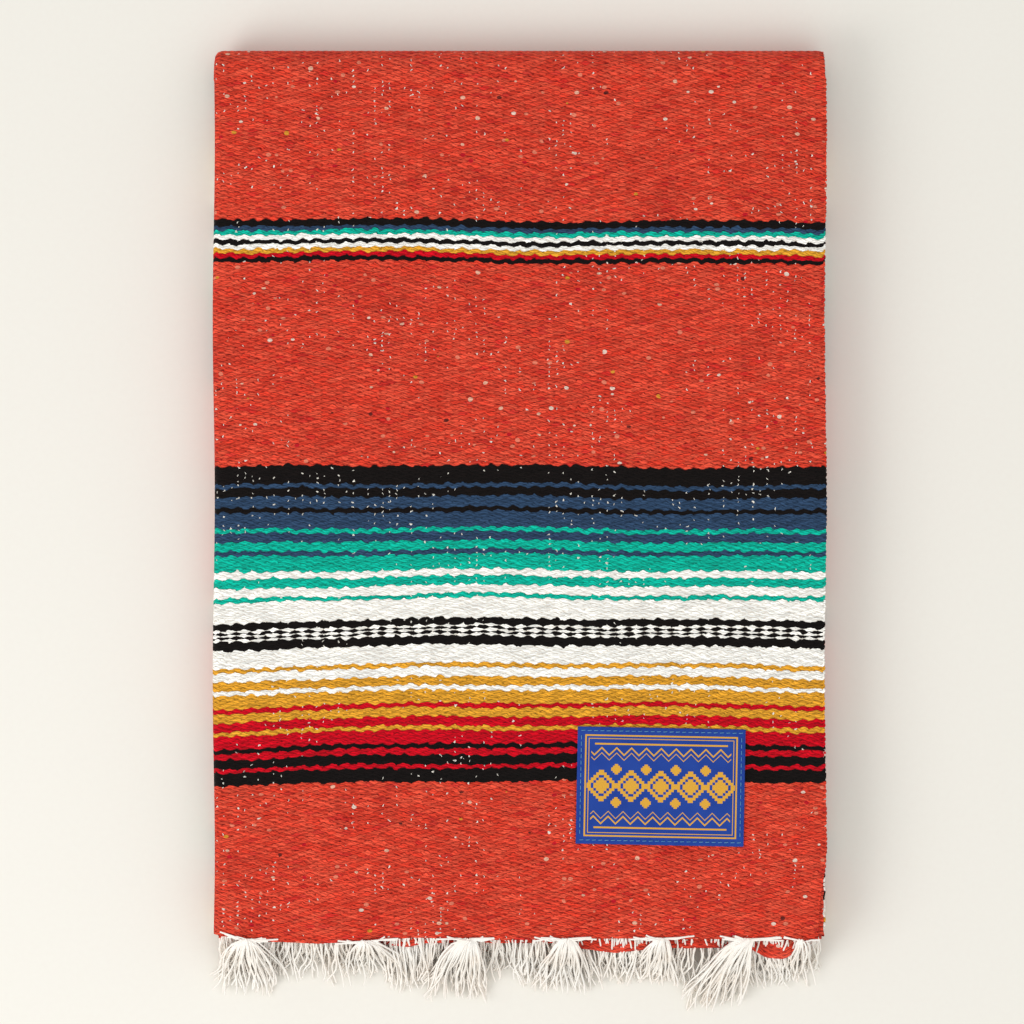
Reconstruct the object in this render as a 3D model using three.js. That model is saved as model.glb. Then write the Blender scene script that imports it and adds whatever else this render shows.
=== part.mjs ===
// A woven serape blanket, 1.40 m wide and 2.04 m long, folded in four across its width and in four along its
// length, so that sixteen sheets lie flat on a table. Both fringed ends come out at the front, one on the other.
//
// Millimetres, +Z up. +X runs along the stripes, +Y from the fringed front to the round back fold. Everything is
// laid out from the middle of the top sheet's fringed edge, and the last lines move the whole so that its
// origin is the middle of its footprint, on the table.
import * as THREE from 'three';

// ---- driving dimensions ----
const FOLDED_WIDTH = 350;
const FOLDED_LENGTH = 510;
const WALL = 2.2; // one sheet of the cloth
const PITCH = 2.25; // one sheet and the air over it
const SHEETS = 4; // sheets in a packet: the width is folded in four
const PACKETS = 4; // packets in the stack: the length is folded in four
const SEAM = 0.3; // clear gap wherever two solids meet
const ROOT_GAP = 1; // the same for the fringe, whose stations across the cloth are not the edge's own

const PACKET = PITCH * SHEETS;
const STACK = PACKET * PACKETS;
const BULGE = PACKET / 2; // radius of a packet's side fold, on its left
const BACK_RADIUS = STACK / 2; // radius of the fold at the back
const FRONT_RADIUS = PACKET; // radius of the lower fold at the front
const RIGHT = FOLDED_WIDTH / 2;
const BULGE_X = -FOLDED_WIDTH / 2 + BULGE; // axis of the side folds
const BACK_Y = FOLDED_LENGTH - BACK_RADIUS; // axis of the back fold
const SECOND_FLOOR = PACKET * 2; // the second fringed end lies between these two heights
const SECOND_TOP = PACKET * 3;
const FRINGE_ROOM = 40; // depth of the second end's own solid, behind its edge

// Broad, low swells of the top sheet: place, half-sizes and height.
const SWELLS = [
  { x: -95, y: 120, wide: 120, long: 110, high: 0.9 },
  { x: 70, y: 250, wide: 130, long: 90, high: 0.7 },
  { x: -60, y: 400, wide: 150, long: 80, high: 0.8 },
  { x: 110, y: 70, wide: 90, long: 60, high: 0.6 },
];

// The first fringed edge: how far it stands in front of (+) or behind (-) its straight line.
const FIRST_EDGE = [
  { x: -176, out: -3 },
  { x: -150, out: 1 },
  { x: -115, out: 2.5 },
  { x: -85, out: 1 },
  { x: -60, out: -1 },
  { x: -10, out: 0.5 },
  { x: 60, out: -0.5 },
  { x: 130, out: 0 },
  { x: 176, out: 0.5 },
];

// The second fringed edge, below it, stands out further and droops in a curled corner near the right.
const SECOND_EDGE = [
  { x: -176, out: 0 },
  { x: -90, out: 2 },
  { x: -74, out: 4 },
  { x: -64, out: 5.5 },
  { x: -52, out: 3 },
  { x: 20, out: 3 },
  { x: 40, out: 7 },
  { x: 55, out: 9 },
  { x: 72, out: 7 },
  { x: 90, out: 6 },
  { x: 125, out: 6 },
  { x: 136, out: 8 },
  { x: 142, out: 13.5 },
  { x: 153, out: 14.5 },
  { x: 159, out: 8 },
  { x: 166, out: 2 },
  { x: 176, out: 0 },
];

// The reach of the fringe in front of the first edge: long at each gathered bunch, short between them.
const FRINGE_REACH = [
  { x: -176, upper: 24, lower: 20 },
  { x: -160, upper: 33, lower: 28 },
  { x: -150, upper: 35, lower: 26 },
  { x: -135, upper: 24, lower: 20 },
  { x: -110, upper: 21, lower: 24 },
  { x: -85, upper: 24, lower: 22 },
  { x: -66, upper: 18, lower: 21 },
  { x: -50, upper: 35, lower: 30 },
  { x: -30, upper: 36, lower: 28 },
  { x: -15, upper: 24, lower: 24 },
  { x: 15, upper: 28, lower: 22 },
  { x: 27, upper: 34, lower: 24 },
  { x: 40, upper: 20, lower: 30 },
  { x: 60, upper: 28, lower: 34 },
  { x: 82, upper: 30, lower: 28 },
  { x: 100, upper: 38, lower: 28 },
  { x: 125, upper: 44, lower: 34 },
  { x: 140, upper: 36, lower: 36 },
  { x: 152, upper: 24, lower: 30 },
  { x: 165, upper: 30, lower: 26 },
  { x: 176, upper: 20, lower: 20 },
];

// The right-hand edges of the sheets inside the stack, from the lowest up. A fold joins two sheets.
const RIGHT_EDGES = [
  { kind: 'fold', sheets: 2, first: 0, inset: 0.5 },
  { kind: 'selvedge', sheets: 1, first: 2, inset: 1.6 },
  { kind: 'selvedge', sheets: 1, first: 3, inset: 0.4 },
  { kind: 'fold', sheets: 2, first: 4, inset: 1.2 },
  { kind: 'selvedge', sheets: 1, first: 6, inset: 0.2 },
  { kind: 'selvedge', sheets: 1, first: 7, inset: 1.0 },
  { kind: 'fold', sheets: 2, first: 8, inset: 0.3 },
  { kind: 'selvedge', sheets: 1, first: 10, inset: 1.4 },
  { kind: 'selvedge', sheets: 1, first: 11, inset: 0.6 },
  { kind: 'fold', sheets: 2, first: 12, inset: 0.1 },
  { kind: 'selvedge', sheets: 1, first: 14, inset: 0.0 },
  { kind: 'selvedge', sheets: 1, first: 15, inset: 0.0 },
];

const LABEL = { wide: 96, long: 67, thick: 0.8, x: 81, y: 87.5, turn: -1.1 };

// ---- materials ----
const cloth = (name, color) => new THREE.MeshStandardMaterial({ name, color, roughness: 0.95, metalness: 0 });
const brickWeave = cloth('brick_weave', 0xc0402c);
const stripedWeave = cloth('striped_weave', 0xb03a2a);
const cottonFringe = cloth('cotton_fringe', 0xefe9da);
const labelCloth = cloth('label_cloth', 0x24468f);

// ---- curves ----
// Reads one column of a table at x, along straight lines between its rows.
function readTable(rows, x, column) {
  if (x <= rows[0].x) return rows[0][column];
  const last = rows[rows.length - 1];
  if (x >= last.x) return last[column];
  const next = rows.findIndex((row) => row.x > x);
  const a = rows[next - 1];
  const b = rows[next];
  return THREE.MathUtils.lerp(a[column], b[column], (x - a.x) / (b.x - a.x));
}

const firstEdge = (x) => -readTable(FIRST_EDGE, x, 'out');
const secondEdge = (x) => -readTable(SECOND_EDGE, x, 'out');

// Height of the top sheet over its flat level. The swells die out towards the folds, which are plain.
function swell(x, y) {
  let high = 0;
  for (const hump of SWELLS) {
    const far = Math.hypot((x - hump.x) / hump.wide, (y - hump.y) / hump.long);
    high += hump.high * (1 - THREE.MathUtils.smoothstep(far, 0, 1));
  }
  return high * THREE.MathUtils.smoothstep(BACK_Y - y, 0, 40) * THREE.MathUtils.smoothstep(x - BULGE_X, 0, 30);
}

// The top sheet's right edge runs in towards its fringed end, and leaves a strip of the sheets below in sight.
const rightEdge = (y) => RIGHT - 4 * (1 - THREE.MathUtils.smoothstep(y, 12, 52));

// How far a point in front of the stack droops below its own level.
const droop = (y) => Math.min(8, 0.04 * Math.max(0, -2 - y) ** 2);

const steps = (from, to, count) => Array.from({ length: count + 1 }, (_, i) => from + ((to - from) * i) / count);

// ---- closed bodies ----
function meshFrom(points, triangles) {
  const geometry = new THREE.BufferGeometry();
  geometry.setAttribute('position', new THREE.Float32BufferAttribute(points.flatMap((p) => p.toArray()), 3));
  geometry.setIndex(triangles.flat());
  return geometry;
}

// Turns the faces of a closed body outwards, by the sign of its volume.
function facingOut(points, triangles) {
  const volume = triangles.reduce(
    (sum, [a, b, c]) => sum + points[a].dot(points[b].clone().cross(points[c])),
    0,
  );
  return meshFrom(points, volume < 0 ? triangles.map(([a, b, c]) => [a, c, b]) : triangles);
}

// A wall between two grids of points, rows by columns, closed all round its rim.
function wall(outer, inner) {
  const rows = outer.length;
  const columns = outer[0].length;
  const points = [...outer.flat(), ...inner.flat()];
  const inside = rows * columns;
  const at = (row, column) => row * columns + column;
  const triangles = [];
  const quad = (a, b, c, d) => triangles.push([a, b, c], [a, c, d]);
  for (let r = 0; r < rows - 1; r++) {
    for (let c = 0; c < columns - 1; c++) {
      const corners = [at(r, c), at(r + 1, c), at(r + 1, c + 1), at(r, c + 1)];
      quad(...corners);
      quad(...corners.reverse().map((i) => i + inside));
    }
  }
  const rim = [];
  for (let c = 0; c < columns - 1; c++) rim.push(at(0, c));
  for (let r = 0; r < rows - 1; r++) rim.push(at(r, columns - 1));
  for (let c = columns - 1; c > 0; c--) rim.push(at(rows - 1, c));
  for (let r = rows - 1; r > 0; r--) rim.push(at(r, 0));
  rim.forEach((from, i) => {
    const to = rim[(i + 1) % rim.length];
    quad(from, to, to + inside, from + inside);
  });
  return facingOut(points, triangles);
}

// A body through rings of equal counts, closed by a flat cap at each end. capPlane gives the two axes of the caps.
function loft(rings, capPlane) {
  const count = rings[0].length;
  const points = rings.flat();
  const triangles = [];
  for (let r = 0; r < rings.length - 1; r++) {
    for (let i = 0; i < count; i++) {
      const a = r * count + i;
      const b = r * count + ((i + 1) % count);
      triangles.push([a, b, b + count], [a, b + count, a + count]);
    }
  }
  const [u, v] = capPlane;
  const capOf = (ring) => THREE.ShapeUtils.triangulateShape(ring.map((p) => new THREE.Vector2(p[u], p[v])), []);
  const last = (rings.length - 1) * count;
  const sameWay = THREE.ShapeUtils.area(rings[0].map((p) => new THREE.Vector2(p[u], p[v]))) > 0;
  const turn = ([a, b, c], flip) => (flip ? [a, c, b] : [a, b, c]);
  for (const face of capOf(rings[0])) triangles.push(turn(face, sameWay));
  for (const face of capOf(rings[rings.length - 1])) triangles.push(turn(face.map((i) => i + last), !sameWay));
  return facingOut(points, triangles);
}

// ---- the outer sheet ----
// Its section across the stack: straight from the right edge to the side fold, then round it. depth is measured
// into the stack from the sheet's face.
function outerSection(columns, bend) {
  const flat = steps(RIGHT, BULGE_X, columns).map((x) => ({ x, outside: 0, inside: WALL, innerX: x }));
  const round = steps(0, bend, 9)
    .slice(1)
    .map((angle) => ({
      x: BULGE_X - BULGE * Math.sin(angle),
      innerX: BULGE_X - (BULGE - WALL) * Math.sin(angle),
      outside: BULGE - BULGE * Math.cos(angle),
      inside: BULGE - (BULGE - WALL) * Math.cos(angle),
    }));
  return [...flat, ...round];
}

// A flat stretch of the outer sheet. place(x, y, depth) puts a point of it; rows run from front to back.
function flatStretch(front, rowCount, place) {
  const section = outerSection(14, Math.PI);
  const rows = steps(0, 1, rowCount);
  const grid = (across, depth) =>
    rows.map((along) =>
      section.map((point) => {
        const x = point[across];
        return place(x, THREE.MathUtils.lerp(front(x), BACK_Y - SEAM, along), point[depth]);
      }),
    );
  return wall(grid('x', 'outside'), grid('innerX', 'inside'));
}

// A half turn of the outer sheet about an axis that lies along X.
function turnedStretch(axisY, axisZ, radius, towards, bend, turns) {
  const section = outerSection(6, bend);
  const grid = (across, depth) =>
    steps(0, Math.PI, turns).map((angle) =>
      section.map((point) => {
        const reach = radius - point[depth];
        return new THREE.Vector3(
          point[across],
          axisY + towards * reach * Math.sin(angle),
          axisZ + reach * Math.cos(angle),
        );
      }),
    );
  return wall(grid('x', 'outside'), grid('innerX', 'inside'));
}

function topStretch() {
  return flatStretch(firstEdge, 16, (x, y, depth) => {
    const trimmed = x > 0 ? (x * rightEdge(y)) / RIGHT : x;
    return new THREE.Vector3(trimmed, y, STACK - depth + swell(trimmed, y));
  });
}

const underStretch = () =>
  flatStretch(() => FRONT_RADIUS + SEAM, 6, (x, y, depth) => new THREE.Vector3(x, y, depth));
const backFold = () => turnedStretch(BACK_Y, BACK_RADIUS, BACK_RADIUS, 1, Math.PI, 16);
const frontFold = () => turnedStretch(FRONT_RADIUS, FRONT_RADIUS, FRONT_RADIUS, -1, Math.PI * 0.83, 12);

// ---- the layers inside ----
// The half-width of a round edge at a height from its middle.
const chord = (radius, height) => Math.sqrt(Math.max(0, radius ** 2 - height ** 2));

function hiddenLeft(z) {
  const packet = Math.floor(z / PACKET);
  const height = z - (packet + 0.5) * PACKET;
  const inOuterSheet = packet === 0 || packet === PACKETS - 1;
  const room = inOuterSheet ? BULGE - WALL - SEAM : BULGE - SEAM;
  return Math.abs(height) < room ? BULGE_X - chord(room, height) : BULGE_X + 0.9 * SEAM;
}

function hiddenRight(z) {
  const edge = RIGHT_EDGES.find(({ first, sheets }) => z < (first + sheets) * PITCH);
  const radius = (edge.sheets * PITCH) / 2;
  const height = z - (edge.first * PITCH + radius);
  return RIGHT - edge.inset - radius + chord(radius, height);
}

function hiddenFront(z) {
  if (z > SECOND_TOP) return 3 + 1.2 * Math.cos((2 * Math.PI * z) / PITCH);
  if (z > SECOND_FLOOR) return FRINGE_ROOM + SEAM;
  const room = FRONT_RADIUS - WALL - SEAM;
  const height = z - FRONT_RADIUS;
  return Math.abs(height) < room ? FRONT_RADIUS - chord(room, height) : FRONT_RADIUS + SEAM;
}

const hiddenBack = (z) => BACK_Y + chord(BACK_RADIUS - WALL - SEAM, z - BACK_RADIUS);

function hiddenLayers() {
  const heights = [];
  for (let sheet = 1; sheet < PACKETS * SHEETS - 1; sheet++) {
    for (const share of [0.08, 0.5, 0.92]) heights.push((sheet + share) * PITCH);
  }
  heights[0] = WALL + SEAM;
  heights[heights.length - 1] = STACK - WALL - SEAM;
  // The outer sheet's own side fold fills both ends on the left, so the layers step back to its axis there.
  const stepX = BULGE_X + SEAM;
  const corner = 3;
  const rings = heights.map((z) => {
    const [left, right, front, back] = [hiddenLeft, hiddenRight, hiddenFront, hiddenBack].map((side) => side(z));
    const frontStep = Math.max(front + SEAM, FRONT_RADIUS + 2 * SEAM);
    const outline = new THREE.Shape();
    outline.moveTo(stepX, front);
    outline.lineTo(right - corner, front);
    outline.absarc(right - corner, front + corner, corner, -Math.PI / 2, 0);
    outline.absarc(right - corner, back - corner, corner, 0, Math.PI / 2);
    outline.lineTo(stepX, back);
    outline.lineTo(stepX, BACK_Y - 2 * SEAM);
    outline.lineTo(left, BACK_Y - 2 * SEAM);
    outline.lineTo(left, frontStep);
    outline.lineTo(stepX, frontStep);
    return outline.getPoints(3).map((p) => new THREE.Vector3(p.x, p.y, z));
  });
  return loft(rings, ['x', 'y']);
}

// ---- the second fringed end ----
// Four sheets that end together, one step behind the other, with a round side fold on the left.
function secondEnd() {
  const rise = SECOND_TOP - SECOND_FLOOR - 2 * 0.45;
  const middle = (SECOND_TOP + SECOND_FLOOR) / 2;
  const section = (x, squeeze) => {
    const edge = secondEdge(x);
    const points = [new THREE.Vector3(x, FRINGE_ROOM, -0.5), new THREE.Vector3(x, FRINGE_ROOM, 0.5)];
    points.push(new THREE.Vector3(x, 15, 0.5));
    for (let sheet = SHEETS; sheet > 0; sheet--) {
      const set = edge + 0.8 * (SHEETS - sheet);
      points.push(new THREE.Vector3(x, set + 0.7, sheet / SHEETS - 0.5));
      points.push(new THREE.Vector3(x, set, (sheet - 0.5) / SHEETS - 0.5));
    }
    points.push(new THREE.Vector3(x, edge + 3.9, -0.5));
    points.push(new THREE.Vector3(x, Math.max(edge + 4.2, 0.5), -0.5));
    points.push(new THREE.Vector3(x, 15, -0.5));
    for (const p of points) p.z = middle + p.z * rise * squeeze - droop(p.y);
    return points;
  };
  const round = steps(Math.PI * 0.45, 0, 5).map((angle) =>
    section(BULGE_X - BULGE * Math.sin(angle), Math.cos(angle)),
  );
  const straight = steps(BULGE_X, RIGHT - 1, 48)
    .slice(1)
    .map((x) => section(x, 1));
  return loft([...round, ...straight], ['y', 'z']);
}

// ---- the fringe ----
// Plain solids of its reach. The upper one hangs from the top sheets, over the second end and down to the table.
function fringe(sectionAt) {
  return loft(steps(BULGE_X, RIGHT - 3, 72).map(sectionAt), ['y', 'z']);
}

const sectionFrom = (x, corners) => corners.map(([y, z]) => new THREE.Vector3(x, y, z));

// Where the upper fringe passes over the second end, turns down, and stops.
function upperRun(x) {
  const over = secondEdge(x) - 1.5;
  const reach = -readTable(FRINGE_REACH, x, 'upper');
  return { over, reach, bend: THREE.MathUtils.lerp(over, reach, 0.45) };
}

function fringeUpper() {
  return fringe((x) => {
    const root = firstEdge(x) - ROOT_GAP;
    const { over, reach, bend } = upperRun(x);
    return sectionFrom(x, [
      [root, SECOND_TOP + 0.2],
      [root, STACK - 0.8],
      [over, STACK - 3],
      [bend - 1, 20],
      [reach, 6.5],
      [reach, 3.4],
      [bend, 13],
      [over, SECOND_TOP + 0.1],
    ]);
  });
}

function fringeLower() {
  return fringe((x) => {
    const edge = secondEdge(x);
    const sag = droop(edge);
    const root = edge - ROOT_GAP;
    const reach = Math.min(-readTable(FRINGE_REACH, x, 'lower'), root - 9);
    const upper = upperRun(x);
    return sectionFrom(x, [
      [root, SECOND_FLOOR + 1.5 - sag],
      [root, SECOND_TOP - 1.5 - sag],
      [upper.bend, 9.5],
      [Math.max(upper.reach, THREE.MathUtils.lerp(reach, upper.bend, 0.1)), 2],
      [reach, 1.6],
      [reach, 0],
      [(root + reach) / 2, 0],
    ]);
  });
}

// ---- the label ----
// A woven patch that lies on the top sheet, so its points are the sheet's, moved up.
function label() {
  const turn = THREE.MathUtils.degToRad(LABEL.turn);
  const grid = (lift) =>
    steps(-LABEL.long / 2, LABEL.long / 2, 8).map((v) =>
      steps(-LABEL.wide / 2, LABEL.wide / 2, 10).map((u) => {
        const x = LABEL.x + u * Math.cos(turn) - v * Math.sin(turn);
        const y = LABEL.y + u * Math.sin(turn) + v * Math.cos(turn);
        return new THREE.Vector3(x, y, STACK + swell(x, y) + lift);
      }),
    );
  return wall(grid(SEAM + LABEL.thick), grid(SEAM));
}

// ---- the blanket ----
const serape = new THREE.Group();
const pieces = [
  ['top_stretch', topStretch(), brickWeave],
  ['back_fold', backFold(), brickWeave],
  ['under_stretch', underStretch(), brickWeave],
  ['front_fold', frontFold(), brickWeave],
  ['hidden_layers', hiddenLayers(), stripedWeave],
  ['second_end', secondEnd(), stripedWeave],
  ['fringe_upper', fringeUpper(), cottonFringe],
  ['fringe_lower', fringeLower(), cottonFringe],
  ['label', label(), labelCloth],
];
for (const [name, geometry, material] of pieces) {
  geometry.computeVertexNormals();
  const piece = new THREE.Mesh(geometry, material);
  piece.name = name;
  serape.add(piece);
}

// The origin: the middle of the footprint, on the table.
const footprint = new THREE.Box3().setFromObject(serape);
const middle = footprint.getCenter(new THREE.Vector3());
serape.position.set(-middle.x, -middle.y, -footprint.min.z);

export default serape;
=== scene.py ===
# %% [markdown]
# # A folded serape blanket
# One loom-woven sheet, 1.40 m by 2.04 m, is folded in four across its width and in four along its
# length. The frame gives the folded stack; this lesson dresses it with real woven sheets, fringe, a
# label and stitches.

# %% Load the frame
import math
import bpy
import numpy as np
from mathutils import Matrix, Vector, noise


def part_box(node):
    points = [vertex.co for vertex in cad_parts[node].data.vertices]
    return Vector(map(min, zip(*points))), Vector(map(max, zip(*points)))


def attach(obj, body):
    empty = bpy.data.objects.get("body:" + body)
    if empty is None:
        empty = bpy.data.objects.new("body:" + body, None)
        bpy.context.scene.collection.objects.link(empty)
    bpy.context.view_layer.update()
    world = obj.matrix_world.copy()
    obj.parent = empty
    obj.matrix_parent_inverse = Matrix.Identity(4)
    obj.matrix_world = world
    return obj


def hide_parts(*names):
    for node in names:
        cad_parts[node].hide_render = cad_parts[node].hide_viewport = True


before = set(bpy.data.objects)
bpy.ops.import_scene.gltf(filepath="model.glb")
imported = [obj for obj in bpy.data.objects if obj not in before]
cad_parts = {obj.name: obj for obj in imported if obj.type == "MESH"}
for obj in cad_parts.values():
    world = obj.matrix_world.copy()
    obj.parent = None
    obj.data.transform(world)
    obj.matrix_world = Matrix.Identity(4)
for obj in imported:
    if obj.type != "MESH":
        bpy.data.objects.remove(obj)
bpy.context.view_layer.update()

rng = np.random.default_rng(7)

# %% [markdown]
# ## Sizes
# Every size comes from the frame's fold nodes, so the cloth keeps to the frame if that changes. A
# packet is the four sheets of the folded width, and four packets make the stack.

# %% Sizes of the stack
back_low, back_high = (Vector(corner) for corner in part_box("back_fold"))
front_low = Vector(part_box("front_fold")[0])
LEFT, RIGHT, BACK, STACK = back_low.x, back_high.x, back_high.y, back_high.z
FRONT = front_low.y
PACKET = STACK / 4
PITCH = PACKET / 4
WALL = 0.93 * PITCH
BULGE = PACKET / 2
BACK_RADIUS = STACK / 2
AXIS_BACK = BACK - BACK_RADIUS
AXIS_FRONT = FRONT + PACKET
AXIS_LEFT = LEFT + BULGE
MIDDLE = (LEFT + RIGHT) / 2
WARP = 0.00415  # between warp threads
PICK = 0.00127  # between passes of the weft
TOUCH = 0.0001  # air between layers that touch
END_LENGTH = 0.040  # how much of the last stretch the second end's own sheets make
print("stack", RIGHT - LEFT, BACK - FRONT, STACK)

# %% [markdown]
# ## The way round the folds
# A point of a packet is found from its distance along the blanket and its depth under the outer
# sheet's face. A list of where each stretch ends says which one it lies on. Each layer could be
# modelled by itself, but one rule for all keeps them from running through each other.

# %% The belt
RUN = AXIS_BACK - FRONT
UNDER = AXIS_BACK - AXIS_FRONT
TURN_BACK = math.pi * (BACK_RADIUS - PACKET / 2)
TURN_SMALL = math.pi * PACKET / 2
ENDS = np.cumsum([RUN, TURN_BACK, UNDER, TURN_SMALL, UNDER, TURN_SMALL, RUN])
SECOND_START = ENDS[-1] - END_LENGTH


def belt(s):
    """Where the outer face is at distance s, and the direction into the packet: y, z, ny, nz."""
    if s <= ENDS[0]:
        return FRONT + s, STACK, 0.0, -1.0
    if s <= ENDS[1]:
        a = math.pi * (s - ENDS[0]) / TURN_BACK
        y, z = AXIS_BACK + BACK_RADIUS * math.sin(a), BACK_RADIUS * (1 + math.cos(a))
        return y, z, -math.sin(a), -math.cos(a)
    if s <= ENDS[2]:
        return AXIS_BACK - (s - ENDS[1]), 0.0, 0.0, 1.0
    if s <= ENDS[3]:
        a = math.pi * (s - ENDS[2]) / TURN_SMALL
        y, z = AXIS_FRONT - PACKET * math.sin(a), PACKET * (1 - math.cos(a))
        return y, z, math.sin(a), math.cos(a)
    if s <= ENDS[4]:
        return AXIS_FRONT + (s - ENDS[3]), 2 * PACKET, 0.0, -1.0
    if s <= ENDS[5]:
        a = math.pi * (s - ENDS[4]) / TURN_SMALL
        return AXIS_BACK, 2 * PACKET, math.sin(a), -math.cos(a)
    return AXIS_BACK - (s - ENDS[5]), 2 * PACKET, 0.0, 1.0


def between(value, low, high):
    """A smooth step from 0 at low to 1 at high."""
    t = min(max((value - low) / (high - low), 0.0), 1.0)
    return t * t * (3 - 2 * t)


def table(rows, x):
    """Reads a table of (x, value) rows, in millimetres, at x in metres from the middle."""
    known, values = zip(*rows)
    return float(np.interp(x * 1000, known, values)) / 1000


# %% [markdown]
# ## Uneven edges and swells
# Hand-woven cloth is never quite straight. These short tables hold how far each fringed edge stands
# out, in millimetres, and where the top sheet swells.

# %% Edge tables
FIRST_EDGE = [
    (-176, -3), (-150, 1), (-115, 2.5), (-85, 1), (-60, -1), (-10, 0.5), (60, -0.5), (130, 0), (176, 0.5),
]
SECOND_EDGE = [
    (-176, 0), (-90, 2), (-74, 4), (-64, 5.5), (-52, 3), (20, 3), (40, 7), (55, 9), (72, 7),
    (90, 6), (125, 6), (136, 8), (142, 12), (153, 13), (159, 8), (166, 2), (176, 0),
]
SWELLS = [  # x and y of the middle, half-width, half-length and height
    (-95, 120, 120, 110, 0.9), (70, 250, 130, 90, 0.7), (-60, 400, 150, 80, 0.8), (110, 70, 90, 60, 0.6),
]


def swell(x, y):
    """Height of the top sheet over its flat level, at a place measured from the first edge's middle."""
    high = 0.0
    for cx, cy, wide, long, top in SWELLS:
        far = math.hypot((x - cx / 1000) * 1000 / wide, (y - cy / 1000) * 1000 / long)
        high += top / 1000 * (1 - between(far, 0, 1))
    return high * between(RUN - y, 0, 0.04) * between(x - AXIS_LEFT, 0, 0.03)


def wander(x, s):
    """How far a pick strays from its straight line: long bends, and small steps from warp to warp."""
    bend = 0.0009 * math.sin(17 * x + 9 * s) + 0.0006 * math.sin(41 * x - 23 * s + 1)
    dip = -0.0025 * between(-x, 0.12, 0.18) * between(s, 0.06, 0.12) * between(0.24 - s, 0, 0.06)
    drop = -0.0014 * between(x, 0.15, 0.175) * between(s, 0.3, 0.38)
    small = 0.0009 * noise.noise(Vector((x * 90, s * 260, 1.7)))
    small += 0.0005 * noise.noise(Vector((x * 260, s * 500, 4)))
    return (bend + dip + drop + small) * between(s, 0, 0.03) * between(RUN - s, -0.01, 0.04)


# %% [markdown]
# ## Meshes from grids
# A sheet is a wall: a fine grid for its face, a coarse grid for its back, and a strip that zips the
# two rims. A Solidify modifier would make the back as fine as the face, which nobody sees.

# %% Grid helpers
def finish_mesh(name, points, faces, uvs):
    """A smooth mesh piece, its map named Weave holding metres across and along the cloth."""
    mesh = bpy.data.meshes.new(name)
    mesh.from_pydata([tuple(p) for p in points], [], faces)
    mesh.validate()
    layer = mesh.uv_layers.new(name="Weave")
    corners = np.array([loop.vertex_index for loop in mesh.loops])
    layer.data.foreach_set("uv", np.asarray(uvs, dtype=np.float32)[corners].ravel())
    mesh.polygons.foreach_set("use_smooth", [True] * len(mesh.polygons))
    piece = bpy.data.objects.new(name, mesh)
    bpy.context.scene.collection.objects.link(piece)
    return piece


def grid_faces(rows, columns, first=0, flip=False):
    """The four-sided faces of a grid whose vertices start at first."""
    faces = []
    for r in range(rows - 1):
        for c in range(columns - 1):
            a = first + r * columns + c
            quad = (a, a + 1, a + columns + 1, a + columns)
            faces.append(quad[::-1] if flip else quad)
    return faces


def rim(rows, columns, first=0):
    """The vertices round a grid, with each one's share of the way round its four sides."""
    last_row, last_column = rows - 1, columns - 1
    loop = [(c, c / last_column) for c in range(last_column)]
    loop += [(r * columns + last_column, 1 + r / last_row) for r in range(last_row)]
    far = last_row * columns
    loop += [(far + c, 2 + (last_column - c) / last_column) for c in range(last_column, 0, -1)]
    loop += [(r * columns, 3 + (last_row - r) / last_row) for r in range(last_row, 0, -1)]
    return [(first + i, share) for i, share in loop]


def zip_rims(outer, inner):
    """Triangles between two rims of unequal counts."""
    outer = outer + [(outer[0][0], 4.0)]
    inner = inner + [(inner[0][0], 4.0)]
    faces, i, j = [], 0, 0
    while i < len(outer) - 1 or j < len(inner) - 1:
        step_outer = j == len(inner) - 1 or (i < len(outer) - 1 and outer[i + 1][1] <= inner[j + 1][1])
        if step_outer:
            faces.append((outer[i][0], inner[j][0], outer[i + 1][0]))
            i += 1
        else:
            faces.append((outer[i][0], inner[j][0], inner[j + 1][0]))
            j += 1
    return faces


def thinned(values, step):
    """Every step-th value, and always the last."""
    few = list(values[::step])
    if (len(values) - 1) % step:
        few.append(values[-1])
    return few


def wall_piece(name, place, rows, columns, coarse):
    """A closed wall. place(s, u, inner) gives a point; rows and columns are the distances s and u."""
    outer_points = [place(s, u, False) for s in rows for u in columns]
    few_rows, few_columns = thinned(rows, coarse), thinned(columns, coarse)
    inner_points = [place(s, u, True) for s in few_rows for u in few_columns]
    start = len(outer_points)
    faces = grid_faces(len(rows), len(columns), 0, True)
    faces += grid_faces(len(few_rows), len(few_columns), start, False)
    faces += zip_rims(rim(len(rows), len(columns)), rim(len(few_rows), len(few_columns), start))
    uvs = [(u, s) for s in rows for u in columns] + [(u, s) for s in few_rows for u in few_columns]
    return finish_mesh(name, outer_points + inner_points, faces, uvs)


# %% [markdown]
# ## The outer sheet
# The sheet that shows starts at the right selvedge, crosses the top, turns round the left fold, and
# follows the belt. Every second column of its grid is a warp thread and every row a pick, so the
# over and under of the weave is real relief, and its UV map is the distance across and along the
# cloth.

# %% The outer sheet's own place
FLAT = RIGHT - AXIS_LEFT
RELIEF = 0.00042  # from the top of a float to the hollow beside it
EDGE_ROUND = 0.0012  # how far in from its edges the sheet is rounded
RIGHT_DRAW = 0.004  # how far the right edge draws in at the fringe


def section(u, inner):
    """x and depth of the outer sheet at distance u from its right edge."""
    if u <= FLAT:
        return RIGHT - u, WALL if inner else 0.0
    a = min((u - FLAT) / BULGE, math.pi)
    radius = BULGE - WALL if inner else BULGE
    return AXIS_LEFT - radius * math.sin(a), BULGE - radius * math.cos(a)


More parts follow.
